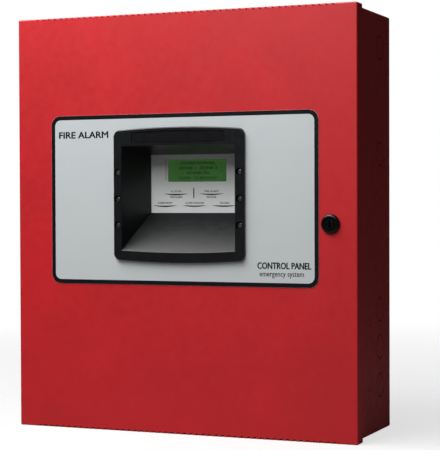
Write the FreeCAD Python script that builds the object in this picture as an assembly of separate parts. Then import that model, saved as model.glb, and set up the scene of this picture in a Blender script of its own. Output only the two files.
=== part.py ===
import FreeCAD, Part
import math
import os

from FreeCAD import Vector

# Wall-mounted fire alarm control panel: a red sheet-steel backbox with a full-size hinged door.
#
# Row frame, in millimetres: the origin is the centre of the backbox's rear (wall) face, +X to the right seen
# from the front, +Y into the wall and +Z up, so the front of the panel faces -Y.

# ---------------------------------------------------------------- driving dimensions
BOX_W = 422.9            # backbox, outside width
BOX_H = 482.6            # backbox, outside height
DOOR_W = 427.2           # door, outside width
DOOR_H = 489.2           # door, outside height
DEPTH = 133.4            # wall face to the front face of the closed door
DOOR_FLANGE = 18.2       # how far the door's edge wraps back over the box
BOX_SHEET = 1.5
DOOR_SHEET = 1.2
DOOR_GAP = 1.2           # between the box's front lip and the inside of the door
LIP = 10.0               # inward front lip round the box's opening

WALL_HOLE_X = 180.0      # half the spacing of the wall fixings
WALL_HOLE_R = 3.5
LOWER_HOLE_Z = -215.0
KEYHOLE_R = 7.0
KEYHOLE_Z = 205.0        # centre of the keyhole's round entry
KEYHOLE_RISE = 12.0      # from there up to the end of its narrow slot

VENT_COUNT = 48
VENT_PITCH = 7.94
VENT_R = 2.45

KNOCKOUT_R = 14.1        # 3/4 inch trade conduit knockout
KNOCKOUT_SLOT = 1.1
KNOCKOUT_Y = -41.0
SIDE_KNOCKOUT_Z = (202.0, 79.5, -99.9, -143.7, -187.6)
TOP_KNOCKOUT_X = (-135.0, -75.0, 75.0, 135.0)
BRACKET_HOLE_Y = -82.0
BRACKET_HOLE_Z = (-111.5, -194.4)

OVERLAY_W = 337.0
OVERLAY_H = 199.2
OVERLAY_Z = 28.0
OVERLAY_T = 0.5

BEZEL_SPAN = (-84.1, 80.9)        # left and right edges
BEZEL_TOP = 108.5
BEZEL_BOTTOM = -42.4
BEZEL_BOW = 3.4          # rise of the bowed top and bottom edges at mid width
BEZEL_PROUD = 5.0        # height of the frame above the door's face
TUNNEL_FRONT = (-73.6, 69.6, -31.5, 90.5)    # left, right, bottom and top of the mouth
TUNNEL_REAR = (-57.0, 57.0, 12.0, 81.0)      # left, right, bottom and top of the inner end
TUNNEL_LIP_BOW = 2.2
TUNNEL_DEPTH = 41.5      # door face to the tunnel's inner end
TUNNEL_WALL = 2.2
RECESS_DEPTH = 1.1       # blank label recess above the tunnel
RECESS_INSET = 23.5      # from the frame's sides to the label recess
DISH_R = 4.3             # round the bezel's screws
DISH_FLOOR = 3.4         # frame's face to the screws' seats
WINDOW_EASE = 3.4        # door's window beyond the tunnel's mouth, left, right and above
WINDOW_EASE_BELOW = 5.6
BEZEL_SCREW_X = (-79.2, 74.9)
BEZEL_SCREW_Z = (59.3, 28.6, -2.1)

LOCK_X = 182.4
LOCK_Z = 0.0
LOCK_HEAD_R = 11.0
LOCK_PROUD = 4.0
LOCK_BARREL_R = 9.2
PLUG_R = 5.7
CAM_T = 2.0
CAM_SQUARE = 3.4         # half width of the plug's square end
CAM_REACH = 24.6         # from the lock's axis to the cam's tip

HINGE_X = -215.1
HINGE_Y = -111.5
HINGE_Z = (165.0, -165.0)
HINGE_LEN = 60.0
KNUCKLE_R = 3.2
HINGE_PIN_R = 1.6

PLATE_FRONT = -48.0      # front face of the mounting plate
PLATE_T = 2.0
PLATE_X = 163.0
PLATE_Z = (-136.0, 206.0)
BOARD_FRONT = -62.0      # component side of the main circuit board
BOARD_T = 1.6
BOARD_X = 160.0
BOARD_Z = (-70.0, 200.0)

FASCIA_FRONT = -90.9     # just behind the tunnel's inner end
FASCIA_T = 2.0
FASCIA_X = 70.0
FASCIA_Z = (-56.0, 90.0)
DISPLAY_BOARD_FRONT = -80.0
LCD_WINDOW = (-35.0, 40.0, 48.8, 75.4)       # left, right, bottom and top
LENSES = ((-24.6, 33.9), (21.0, 33.9), (-39.0, 20.1), (-0.8, 20.1), (37.4, 20.1))
LENS_W = 31.0

KEY_ROWS_Z = (1.0, -14.0, -29.0, -44.0)
NUMBER_KEYS_X = (-48.0, -22.0, 4.0)
FUNCTION_KEYS_X = 42.0
KEY_H = 10.0
NUMBER_KEY_W = 19.0
FUNCTION_KEY_W = 30.0
KEY_PROUD = 1.9          # height of the caps above the fascia
KEY_TRAVEL = 0.8

TRANSFORMER_Z = -99.0
TRANSFORMER_FOOT_X = 42.0
CORE = (33.0, 32.0, 23.0)      # half width, stack depth and half height
CORE_BACK = PLATE_FRONT - 9.5
BRACKET_T = 1.5

BATTERY = (151.0, 65.0, 94.0)
BATTERY_GAP = 6.0        # from the middle of the box to each battery
BATTERY_BACK = -5.0
LEAD_R = 1.5
RETAINER_X = 162.0       # half length of the angle in front of the batteries
RETAINER_H = 26.0
RETAINER_FOOT = 18.0

# ---------------------------------------------------------------- derived places
DOOR_FACE = -DEPTH
DOOR_INSIDE = DOOR_FACE + DOOR_SHEET
BOX_FRONT = DOOR_INSIDE + DOOR_GAP
BOX_FLOOR = -BOX_H / 2 + BOX_SHEET
BEZEL_FACE = DOOR_FACE - BEZEL_PROUD
TUNNEL_END = DOOR_FACE + TUNNEL_DEPTH
BATTERY_TOP = BOX_FLOOR + BATTERY[2]
LOCK_BARREL_END = DOOR_FACE + 9.4
CAM_BACK = LOCK_BARREL_END + 0.3

AXES = {"x": Vector(1, 0, 0), "y": Vector(0, 1, 0), "z": Vector(0, 0, 1)}


# ---------------------------------------------------------------- shape helpers
def block(x0, x1, y0, y1, z0, z1):
    return Part.makeBox(x1 - x0, y1 - y0, z1 - z0, Vector(x0, y0, z0))


def rod(radius, start, axis, length):
    return Part.makeCylinder(radius, length, Vector(*start), AXES[axis])


def edges_along(shape, axis):
    """Edges that are straight and parallel to one of the row axes."""
    found = []
    for edge in shape.Edges:
        if isinstance(edge.Curve, Part.Line) and abs(abs(edge.Curve.Direction.dot(AXES[axis])) - 1) < 1e-6:
            found.append(edge)
    return found


def edges_on_plane(shape, axis, value):
    """Edges that lie wholly in the plane where the axis's coordinate has this value."""
    found = []
    for edge in shape.Edges:
        low = getattr(edge.BoundBox, axis.upper() + "Min")
        high = getattr(edge.BoundBox, axis.upper() + "Max")
        if abs(low - value) < 1e-4 and abs(high - value) < 1e-4:
            found.append(edge)
    return found


def rounded_block(x0, x1, y0, y1, z0, z1, radius, axis="y"):
    """A block whose four edges along one axis are rounded."""
    solid = block(x0, x1, y0, y1, z0, z1)
    return solid.makeFillet(radius, edges_along(solid, axis))


def soft_block(x0, x1, y0, y1, z0, z1, radius):
    """A block with every edge rounded."""
    solid = block(x0, x1, y0, y1, z0, z1)
    return solid.makeFillet(radius, solid.Edges)


def hex_prism(across_flats, centre, y0, y1):
    """A hexagonal prism along Y."""
    reach = across_flats / math.sqrt(3)
    corners = [
        Vector(
            centre[0] + reach * math.cos(math.radians(60 * k)),
            y0,
            centre[1] + reach * math.sin(math.radians(60 * k)),
        )
        for k in range(6)
    ]
    outline = Part.makePolygon(corners + corners[:1])
    return Part.Face(outline).extrude(Vector(0, y1 - y0, 0))


def pan_screw(centre, head_y, head_r, head_h, shank_r, shank_len):
    """A pan-head screw along Y, its head standing to -Y of head_y and its shank running to +Y."""
    x, z = centre
    head = rod(head_r, (x, head_y - head_h, z), "y", head_h)
    head = head.makeFillet(head_h * 0.45, edges_on_plane(head, "y", head_y - head_h))
    thin, long = head_r * 0.13, head_r * 0.57
    top, floor = head_y - head_h - 1, head_y - head_h * 0.45
    for dx, dz in ((thin, long), (long, thin)):
        head = head.cut(block(x - dx, x + dx, top, floor, z - dz, z + dz))
    return head.fuse(rod(shank_r, (x, head_y, z), "y", shank_len)).removeSplitter()


def route(points, radius):
    """A round wire of this radius along straight runs joined by tangent arcs as large as the runs allow."""
    pts = [Vector(*p) for p in points]
    edges, start = [], pts[0]
    for before, corner, after in zip(pts, pts[1:], pts[2:]):
        one, two = (before - corner), (after - corner)
        share = 0.45 * min(one.Length, two.Length)
        one.normalize()
        two.normalize()
        enter, leave = corner + one * share, corner + two * share
        half_turn = (math.pi - one.getAngle(two)) / 2
        middle_dir = one + two
        middle_dir.normalize()
        bend = share / math.tan(half_turn)
        middle = corner + middle_dir * (bend / math.cos(half_turn) - bend)
        edges.append(Part.LineSegment(start, enter).toShape())
        edges.append(Part.Arc(enter, middle, leave).toShape())
        start = leave
    edges.append(Part.LineSegment(start, pts[-1]).toShape())
    path = Part.Wire(edges)
    heading = pts[1] - pts[0]
    section = Part.Wire(Part.Circle(pts[0], heading, radius).toShape())
    tube = path.makePipeShell([section], True, True)
    expected = math.pi * radius**2 * path.Length
    print("wire: volume over section times length =", round(tube.Volume / expected, 4))
    return tube


def group(shapes):
    return Part.makeCompound(shapes)


# ---------------------------------------------------------------- backbox
def knockout_slots(centre, axis, depth):
    """Two arc slots, held apart by two tabs, through a wall square to the axis."""
    x, y, z = centre
    start = {"x": (x - depth, y, z), "z": (x, y, z - depth)}[axis]
    disc = rod(KNOCKOUT_R - KNOCKOUT_SLOT, start, axis, 2 * depth)
    ring = rod(KNOCKOUT_R, start, axis, 2 * depth).cut(disc)
    reach, tab = KNOCKOUT_R + 1, 1.8
    if axis == "x":
        tabs = block(x - depth, x + depth, y - reach, y + reach, z - tab, z + tab)
    else:
        tabs = block(x - reach, x + reach, y - tab, y + tab, z - depth, z + depth)
    return ring.cut(tabs)


def backbox():
    half_w, half_h = BOX_W / 2, BOX_H / 2
    shell = block(-half_w, half_w, BOX_FRONT, 0, -half_h, half_h)
    shell = shell.makeFillet(2.0, shell.Edges)
    inner_w, inner_h = half_w - BOX_SHEET, half_h - BOX_SHEET
    lip_back = BOX_FRONT + BOX_SHEET
    shell = shell.cut(rounded_block(-inner_w, inner_w, lip_back, -BOX_SHEET, -inner_h, inner_h, 1.0))
    mouth_w, mouth_h = half_w - LIP, half_h - LIP
    shell = shell.cut(rounded_block(-mouth_w, mouth_w, BOX_FRONT - 1, lip_back + 1, -mouth_h, mouth_h, 3.0))
    cuts = []
    for side in (-1, 1):
        for z in SIDE_KNOCKOUT_Z:
            cuts.append(knockout_slots((side * half_w, KNOCKOUT_Y, z), "x", 4.0))
        for z in BRACKET_HOLE_Z:
            for dz in (-4.2, 4.2):
                cuts.append(rod(1.6, (side * half_w - 4, BRACKET_HOLE_Y, z + dz), "x", 8))
        cuts.append(rounded_block(side * half_w - 4, side * half_w + 4, -54, -52, -214, -208, 0.9, "x"))
        cuts.append(rod(WALL_HOLE_R, (side * WALL_HOLE_X, -6, LOWER_HOLE_Z), "y", 8))
        x, slot_end = side * WALL_HOLE_X, KEYHOLE_Z + KEYHOLE_RISE
        cuts.append(rod(KEYHOLE_R, (x, -6, KEYHOLE_Z), "y", 8))
        cuts.append(block(x - WALL_HOLE_R, x + WALL_HOLE_R, -6, 2, KEYHOLE_Z, slot_end))
        cuts.append(rod(WALL_HOLE_R, (x, -6, slot_end), "y", 8))
    for x in TOP_KNOCKOUT_X:
        cuts.append(knockout_slots((x, KNOCKOUT_Y, half_h), "z", 4.0))
    for x in (-180.0, 180.0):
        cuts.append(knockout_slots((x, KNOCKOUT_Y, -half_h), "z", 4.0))
    return shell.cut(cuts)


# ---------------------------------------------------------------- door and its trim
def door_panel():
    half_w, half_h = DOOR_W / 2, DOOR_H / 2
    back = DOOR_FACE + DOOR_FLANGE
    pan = block(-half_w, half_w, DOOR_FACE, back, -half_h, half_h)
    pan = pan.makeFillet(1.6, edges_on_plane(pan, "y", DOOR_FACE) + edges_along(pan, "y"))
    inner_w, inner_h = half_w - DOOR_SHEET, half_h - DOOR_SHEET
    pan = pan.cut(block(-inner_w, inner_w, DOOR_INSIDE, back + 1, -inner_h, inner_h))
    left, right, low, high = TUNNEL_FRONT
    left, right = left - WINDOW_EASE, right + WINDOW_EASE
    low, high = low - WINDOW_EASE_BELOW, high + WINDOW_EASE
    cuts = [rounded_block(left, right, DOOR_FACE - 1, DOOR_INSIDE + 1, low, high, 1.2)]
    cuts.append(rod(LOCK_BARREL_R + 0.15, (LOCK_X, DOOR_FACE - 1, LOCK_Z), "y", DOOR_SHEET + 2))
    for x in BEZEL_SCREW_X:
        cuts += [rod(1.5, (x, DOOR_FACE - 1, z), "y", DOOR_SHEET + 2) for z in BEZEL_SCREW_Z]
    first = -VENT_PITCH * (VENT_COUNT - 1) / 2
    for k in range(VENT_COUNT):
        x = first + k * VENT_PITCH
        cuts += [Part.makeSphere(VENT_R, Vector(x, DOOR_FACE, end * half_h)) for end in (-1, 1)]
    return pan.cut(cuts)


def overlay():
    half_w, low, high = OVERLAY_W / 2, OVERLAY_Z - OVERLAY_H / 2, OVERLAY_Z + OVERLAY_H / 2
    sheet = rounded_block(-half_w, half_w, DOOR_FACE - OVERLAY_T, DOOR_FACE, low, high, 11.5)
    inset = 3.0
    left, right = BEZEL_SPAN[0] + inset, BEZEL_SPAN[1] - inset
    low, high = BEZEL_BOTTOM + inset, BEZEL_TOP - inset
    return sheet.cut(rounded_block(left, right, DOOR_FACE - 2, DOOR_FACE + 2, low, high, 4.0))


def bowed_plate(left, right, low, high, bow, radius, y0, y1):
    """A plate along Y whose top and bottom edges bow outwards, with rounded corners."""
    middle = (left + right) / 2
    a, b = Vector(left, y0, low), Vector(right, y0, low)
    c, d = Vector(right, y0, high), Vector(left, y0, high)
    outline = Part.Wire([
        Part.Arc(a, Vector(middle, y0, low - bow), b).toShape(),
        Part.LineSegment(b, c).toShape(),
        Part.Arc(c, Vector(middle, y0, high + bow), d).toShape(),
        Part.LineSegment(d, a).toShape(),
    ])
    plate = Part.Face(outline).extrude(Vector(0, y1 - y0, 0))
    return plate.makeFillet(radius, edges_along(plate, "y"))


def tunnel_section(y, left, right, low, high, bow):
    """One cross-section of the tapering tunnel, its bottom edge bowed down at mid width."""
    a, b = Vector(left, y, low), Vector(right, y, low)
    c, d = Vector(right, y, high), Vector(left, y, high)
    return Part.Wire([
        Part.Arc(a, Vector((left + right) / 2, y, low - bow), b).toShape(),
        Part.LineSegment(b, c).toShape(),
        Part.LineSegment(c, d).toShape(),
        Part.LineSegment(d, a).toShape(),
    ])


def tunnel_solid(grow, y0, y1):
    """The tapering hollow, grown outwards all round, between two depths on the tunnel's own taper."""
    sections = []
    for y in (y0, y1):
        t = (y - BEZEL_FACE) / (TUNNEL_END - BEZEL_FACE)
        left, right, low, high = (f + (r - f) * t for f, r in zip(TUNNEL_FRONT, TUNNEL_REAR))
        bow = TUNNEL_LIP_BOW * max(0.02, 1 - t)
        sections.append(tunnel_section(y, left - grow, right + grow, low - grow, high + grow, bow))
    return Part.makeLoft(sections, True, True)


def bezel():
    frame = bowed_plate(*BEZEL_SPAN, BEZEL_BOTTOM, BEZEL_TOP, BEZEL_BOW, 8.0, BEZEL_FACE, DOOR_FACE)
    frame = frame.makeFillet(1.6, edges_on_plane(frame, "y", BEZEL_FACE))
    frame = frame.cut(overlay())
    body = frame.fuse(tunnel_solid(TUNNEL_WALL, BEZEL_FACE + 1.0, TUNNEL_END))
    body = body.cut(tunnel_solid(0.0, BEZEL_FACE - 1.0, TUNNEL_END + 1.0))
    rim = [(e, e.BoundBox) for e in edges_on_plane(body, "y", BEZEL_FACE)]
    inner = [(e, b) for e, b in rim if b.XMin > TUNNEL_FRONT[0] - 1 and b.XMax < TUNNEL_FRONT[1] + 1]
    body = body.makeFillet(0.9, [e for e, b in inner if b.ZMin < 0])
    left, right = BEZEL_SPAN[0] + RECESS_INSET, BEZEL_SPAN[1] - RECESS_INSET
    low, high = TUNNEL_FRONT[3] + 4.0, BEZEL_TOP - 2.4
    body = body.cut(bowed_plate(left, right, low, high, 1.6, 0.8, BEZEL_FACE - 1, BEZEL_FACE + RECESS_DEPTH))
    for x in BEZEL_SCREW_X:
        for z in BEZEL_SCREW_Z:
            dish = Part.makeSphere(DISH_R, Vector(x, BEZEL_FACE + 0.7, z))
            seat = BEZEL_FACE + DISH_FLOOR
            body = body.cut(dish.common(block(x - 5, x + 5, BEZEL_FACE - 6, seat, z - 5, z + 5)))
            body = body.cut(rod(1.6, (x, BEZEL_FACE, z), "y", BEZEL_PROUD + 1))
    return body.removeSplitter()


def bezel_screws():
    seat = BEZEL_FACE + DISH_FLOOR
    places = [(x, z) for x in BEZEL_SCREW_X for z in BEZEL_SCREW_Z]
    return group([pan_screw(place, seat, 2.6, 1.3, 1.45, 5.4) for place in places])


# ---------------------------------------------------------------- door lock
def lock_housing():
    head = rod(LOCK_HEAD_R, (LOCK_X, DOOR_FACE - LOCK_PROUD, LOCK_Z), "y", LOCK_PROUD)
    head = head.makeFillet(3.0, edges_on_plane(head, "y", DOOR_FACE - LOCK_PROUD))
    barrel = rod(LOCK_BARREL_R, (LOCK_X, DOOR_FACE, LOCK_Z), "y", LOCK_BARREL_END - DOOR_FACE)
    body = head.fuse(barrel)
    dish = rod(PLUG_R + 1.6, (LOCK_X, DOOR_FACE - LOCK_PROUD - 1, LOCK_Z), "y", 1.7)
    body = body.cut(dish)
    return body.cut(rod(PLUG_R + 0.07, (LOCK_X, DOOR_FACE - 20, LOCK_Z), "y", 60)).removeSplitter()


def lock_nut():
    ring = hex_prism(24.0, (LOCK_X, LOCK_Z), DOOR_INSIDE, DOOR_INSIDE + 3.0)
    return ring.cut(rod(LOCK_BARREL_R + 0.05, (LOCK_X, DOOR_INSIDE - 1, LOCK_Z), "y", 5))


def lock_block(half_w, y0, y1, low, high):
    """A block centred on the lock's axis in X, with its heights counted from that axis."""
    return block(LOCK_X - half_w, LOCK_X + half_w, y0, y1, LOCK_Z + low, LOCK_Z + high)


def lock_plug():
    face = DOOR_FACE - LOCK_PROUD + 0.3
    plug = rod(PLUG_R, (LOCK_X, face, LOCK_Z), "y", CAM_BACK - face)
    square = lock_block(CAM_SQUARE, CAM_BACK, CAM_BACK + CAM_T, -CAM_SQUARE, CAM_SQUARE)
    keyway = lock_block(0.9, face - 1, face + 7, -3.9, 3.9)
    screw_hole = rod(1.6, (LOCK_X, CAM_BACK - 6, LOCK_Z), "y", 12)
    return plug.fuse(square).cut(keyway).cut(screw_hole).removeSplitter()


def lock_cam():
    """A cranked cam: a pad on the plug's square, a step to the door, and a tip that points up at rest."""
    half_w, step, crank = 7.0, 5.0, 13.4
    front, back = CAM_BACK, CAM_BACK + CAM_T
    pad = lock_block(half_w, front, back, -half_w, crank + CAM_T)
    riser = lock_block(half_w, front - step, back, crank, crank + CAM_T)
    tip = lock_block(half_w, front - step, back - step, crank, CAM_REACH)
    hole = CAM_SQUARE + 0.05
    cam = pad.fuse(riser).fuse(tip).removeSplitter()
    return cam.cut(lock_block(hole, front - 1, back + 1, -hole, hole))


def lock_cam_screw():
    seat = CAM_BACK + CAM_T
    head = rod(4.6, (LOCK_X, seat, LOCK_Z), "y", 2.2)
    head = head.makeFillet(0.9, edges_on_plane(head, "y", seat + 2.2))
    slot = lock_block(3.4, seat + 1.2, seat + 3, -0.6, 0.6)
    return head.cut(slot).fuse(rod(1.5, (LOCK_X, seat - 6, LOCK_Z), "y", 6)).removeSplitter()


# ---------------------------------------------------------------- hinges
LEAF = 1.5
KNUCKLE_GAP = 0.4
BOX_KNUCKLE = 17.0       # length of each of the box leaf's two knuckles


def knuckle_spans(centre_z):
    low, high = centre_z - HINGE_LEN / 2, centre_z + HINGE_LEN / 2
    box = [(low, low + BOX_KNUCKLE), (high - BOX_KNUCKLE, high)]
    door = [(low + BOX_KNUCKLE + KNUCKLE_GAP, high - BOX_KNUCKLE - KNUCKLE_GAP)]
    return box, door


def hinge_leaf(plate, own, other):
    """A leaf: its plate cleared round the other leaf's knuckles, its own knuckles, and the pin's bore."""
    for z0, z1 in other:
        length = z1 - z0 + 2 * KNUCKLE_GAP
        plate = plate.cut(rod(KNUCKLE_R + 0.35, (HINGE_X, HINGE_Y, z0 - KNUCKLE_GAP), "z", length))
    for z0, z1 in own:
        plate = plate.fuse(rod(KNUCKLE_R, (HINGE_X, HINGE_Y, z0), "z", z1 - z0))
    bore = rod(HINGE_PIN_R + 0.05, (HINGE_X, HINGE_Y, own[0][0] - 5), "z", HINGE_LEN + 10)
    return plate.cut(bore).removeSplitter()


def hinge_box_leaves():
    leaves = []
    for z in HINGE_Z:
        box, door = knuckle_spans(z)
        wall = -BOX_W / 2
        plate = block(wall - LEAF, wall, HINGE_Y, HINGE_Y + 22, z - HINGE_LEN / 2, z + HINGE_LEN / 2)
        leaves.append(hinge_leaf(plate, box, door))
    return group(leaves)


def hinge_door_leaves():
    leaves = []
    for z in HINGE_Z:
        box, door = knuckle_spans(z)
        side = -DOOR_W / 2
        plate = block(side - LEAF, side, DOOR_FACE + 5, HINGE_Y, z - HINGE_LEN / 2, z + HINGE_LEN / 2)
        leaves.append(hinge_leaf(plate, door, box))
    return group(leaves)


def hinge_pins():
    pins = []
    for z in HINGE_Z:
        top = z + HINGE_LEN / 2
        pin = rod(HINGE_PIN_R, (HINGE_X, HINGE_Y, z - HINGE_LEN / 2 - 1.2), "z", HINGE_LEN + 1.2)
        cap = rod(2.7, (HINGE_X, HINGE_Y, top), "z", 1.4)
        pins.append(pin.fuse(cap).removeSplitter())
    return group(pins)


# ---------------------------------------------------------------- plate, board and their fasteners
SPACER_PLACES = [(x, z) for x in (-150.0, 150.0) for z in (-128.0, 35.0, 198.0)]
BOARD_SCREW_PLACES = [(x, z) for x in (-152.0, 0.0, 152.0) for z in (-48.0, 181.0)]
BOARD_SCREW_PLACES += [(-152.0, 66.0), (152.0, 66.0)]
TRANSFORMER_SCREW_PLACES = [(-TRANSFORMER_FOOT_X, TRANSFORMER_Z), (TRANSFORMER_FOOT_X, TRANSFORMER_Z)]
FASCIA_SCREW_PLACES = [(x, z) for x in (-64.0, 64.0) for z in (-50.0, 84.0)]
SCREW_HOLE_R = 2.1
SCREW_SHANK_R = 1.9


def mounting_plate():
    plate = rounded_block(-PLATE_X, PLATE_X, PLATE_FRONT, PLATE_FRONT + PLATE_T, PLATE_Z[0], PLATE_Z[1], 4.0)
    places = SPACER_PLACES + BOARD_SCREW_PLACES + TRANSFORMER_SCREW_PLACES
    return plate.cut([rod(SCREW_HOLE_R, (x, PLATE_FRONT - 1, z), "y", 4) for x, z in places])


def plate_spacers():
    spacers = []
    for place in SPACER_PLACES:
        pillar = hex_prism(8.0, place, PLATE_FRONT + PLATE_T, -BOX_SHEET)
        spacers.append(pillar.cut(rod(SCREW_HOLE_R, (place[0], PLATE_FRONT, place[1]), "y", 12)))
    return group(spacers)


def board_standoffs():
    """Standoffs under the main board, and the longer ones between it and the display board."""
    posts = []
    for place in BOARD_SCREW_PLACES:
        post = hex_prism(6.0, place, BOARD_FRONT + BOARD_T, PLATE_FRONT)
        posts.append(post.cut(rod(SCREW_HOLE_R, (place[0], BOARD_FRONT, place[1]), "y", 20)))
    for place in FASCIA_SCREW_PLACES:
        post = hex_prism(6.0, place, DISPLAY_BOARD_FRONT + BOARD_T, BOARD_FRONT)
        posts.append(post.cut(rod(SCREW_HOLE_R, (place[0], DISPLAY_BOARD_FRONT, place[1]), "y", 12)))
    return group(posts)


def main_board():
    board = rounded_block(-BOARD_X, BOARD_X, BOARD_FRONT, BOARD_FRONT + BOARD_T, BOARD_Z[0], BOARD_Z[1], 2.0)
    holes = [rod(SCREW_HOLE_R, (x, BOARD_FRONT - 1, z), "y", 4) for x, z in BOARD_SCREW_PLACES]
    return board.cut(holes)


def machine_screws():
    """The identical cross-head screws that hold the plate, the board, the transformer and the fascia."""
    seats = [(SPACER_PLACES, PLATE_FRONT, 9), (BOARD_SCREW_PLACES, BOARD_FRONT, 9)]
    seats += [(TRANSFORMER_SCREW_PLACES, PLATE_FRONT - BRACKET_T, 9), (FASCIA_SCREW_PLACES, FASCIA_FRONT, 14)]
    screws = []
    for places, seat, length in seats:
        screws += [pan_screw(place, seat, 3.8, 2.4, SCREW_SHANK_R, length) for place in places]
    return group(screws)


# ---------------------------------------------------------------- parts on the main board
BLOCK_POSITIONS = 8
BLOCK_PITCH = 5.0
HEADER_Z = BOARD_Z[0] + 6.0
BLOCK_CENTRES = [(x, z) for x in (-137.0, -96.0, 96.0, 137.0) for z in (-62.0, 193.0)]
BLOCK_CENTRES += [(-41.0, 193.0), (41.0, 193.0)]


def terminal_screw_places():
    for x, z in BLOCK_CENTRES:
        for k in range(BLOCK_POSITIONS):
            yield x + (k - (BLOCK_POSITIONS - 1) / 2) * BLOCK_PITCH, z


def terminal_blocks():
    """Stepped terminal blocks with screw wells and outward wire entries, and the transformer's header."""
    blocks = []
    half = BLOCK_POSITIONS * BLOCK_PITCH / 2
    for x, z in BLOCK_CENTRES:
        out = -1 if z < 0 else 1
        body = block(x - half, x + half, BOARD_FRONT - 9, BOARD_FRONT, z - 6, z + 6)
        body = body.fuse(block(x - half, x + half, BOARD_FRONT - 13, BOARD_FRONT - 9, z - 4.2, z + 4.2))
        cuts = []
        for k in range(BLOCK_POSITIONS):
            cx = x + (k - (BLOCK_POSITIONS - 1) / 2) * BLOCK_PITCH
            cuts.append(rod(1.9, (cx, BOARD_FRONT - 14, z), "y", 5))
            z0, z1 = sorted((z + out * 3.0, z + out * 7.0))
            cuts.append(block(cx - 1.7, cx + 1.7, BOARD_FRONT - 6.6, BOARD_FRONT - 2.4, z0, z1))
        blocks.append(body.cut(cuts).removeSplitter())
    blocks.append(block(-13, 13, BOARD_FRONT - 11.5, BOARD_FRONT, HEADER_Z, HEADER_Z + 7))
    return group(blocks)


def terminal_screws():
    screws = []
    for x, z in terminal_screw_places():
        head = rod(1.8, (x, BOARD_FRONT - 11.6, z), "y", 2.6)
        screws.append(head.cut(block(x - 2, x + 2, BOARD_FRONT - 12, BOARD_FRONT - 10.9, z - 0.3, z + 0.3)))
    return group(screws)


def relays():
    made = []
    for x in (88.0, 112.0, 136.0):
        for z in (95.0, 117.0, 139.0):
            made.append(soft_block(x - 9.5, x + 9.5, BOARD_FRONT - 15.3, BOARD_FRONT, z - 7.7, z + 7.7, 0.6))
    return group(made)


CAPACITORS = (
    (-92.0, 24.0, 11.0, 32.0),
    (-92.0, -4.0, 11.0, 32.0),
    (-88.0, 52.0, 8.0, 22.0),
    (-88.0, 72.0, 8.0, 22.0),
    (-20.0, 160.0, 6.3, 14.0),
    (-2.0, 160.0, 6.3, 14.0),
    (88.0, -30.0, 8.0, 20.0),
    (88.0, 2.0, 8.0, 20.0),
)


def capacitors():
    cans = []
    for x, z, radius, height in CAPACITORS:
        can = rod(radius, (x, BOARD_FRONT - height, z), "y", height)
        can = can.makeFillet(1.0, edges_on_plane(can, "y", BOARD_FRONT - height))
        groove = Part.makeTorus(radius + 0.5, 1.1, Vector(x, BOARD_FRONT - 3.4, z), AXES["y"])
        cans.append(can.cut(groove))
    return group(cans)


def heatsink():
    """An extruded heatsink: a base web with fins that stand off it."""
    x0, x1, z0, z1 = -146.0, -116.0, -20.0, 50.0
    sink = block(x0, x1, BOARD_FRONT - 4, BOARD_FRONT - 0.6, z0, z1)
    fins, fin_t = 7, 1.4
    for k in range(fins):
        x = x0 + k * (x1 - x0 - fin_t) / (fins - 1)
        sink = sink.fuse(block(x, x + fin_t, BOARD_FRONT - 26, BOARD_FRONT - 4, z0, z1))
    return sink.removeSplitter()


FUSE_PLACES = ((-131.0, 80.0), (-131.0, 94.0), (-131.0, 108.0))


def fuse_holders():
    holders = []
    for x, z in FUSE_PLACES:
        for end in (-1, 1):
            clip = block(x + end * 9 - 2.5, x + end * 9 + 2.5, BOARD_FRONT - 8, BOARD_FRONT, z - 3.6, z + 3.6)
            channel = block(x - 13, x + 13, BOARD_FRONT - 9, BOARD_FRONT - 2, z - 2.65, z + 2.65)
            holders.append(clip.cut(channel))
    return group(holders)


def fuses():
    made = []
    for x, z in FUSE_PLACES:
        made.append(rod(2.6, (x - 10.5, BOARD_FRONT - 5, z), "x", 21))
    return group(made)


CHIPS = (
    (-75.0, 150.0, 26.0, 26.0, 2.6),
    (-28.0, 118.0, 36.0, 15.0, 4.0),
    (28.0, 118.0, 36.0, 15.0, 4.0),
    (40.0, 150.0, 20.0, 20.0, 2.6),
    (-120.0, 145.0, 20.0, 9.0, 3.6),
    (-120.0, 160.0, 20.0, 9.0, 3.6),
    (122.0, 10.0, 16.0, 22.0, 2.6),
    (122.0, -24.0, 22.0, 10.0, 3.6),
    (122.0, 50.0, 30.0, 12.0, 4.0),
)


def integrated_circuits():
    chips = []
    for x, z, width, height, tall in CHIPS:
        dx, dz, top = width / 2, height / 2, BOARD_FRONT - tall
        body = block(x - dx, x + dx, top, BOARD_FRONT, z - dz, z + dz)
        mark = rod(1.2, (x - dx + 2.6, top - 1, z + dz - 2.6), "y", 1.3)
        chips.append(body.cut(mark))
    return group(chips)


def piezo_sounder():
    x, z = -75.0, 112.0
    can = rod(13.0, (x, BOARD_FRONT - 12, z), "y", 12)
    can = can.makeFillet(1.5, edges_on_plane(can, "y", BOARD_FRONT - 12))
    return can.cut(rod(2.0, (x, BOARD_FRONT - 13, z), "y", 8))


# ---------------------------------------------------------------- display and keypad
def lens_wedge(x, z, y0, y1, grow=0.0):
    """A crescent with both edges curved down, deepest at mid width."""
    half = LENS_W / 2 + grow
    left, right = Vector(x - half, y0, z + 0.9), Vector(x + half, y0, z + 0.9)
    outline = Part.Wire([
        Part.Arc(left, Vector(x, y0, z - 1.0 - grow), right).toShape(),
        Part.Arc(right, Vector(x, y0, z + 0.55 + grow), left).toShape(),
    ])
    return Part.Face(outline).extrude(Vector(0, y1 - y0, 0))


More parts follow.
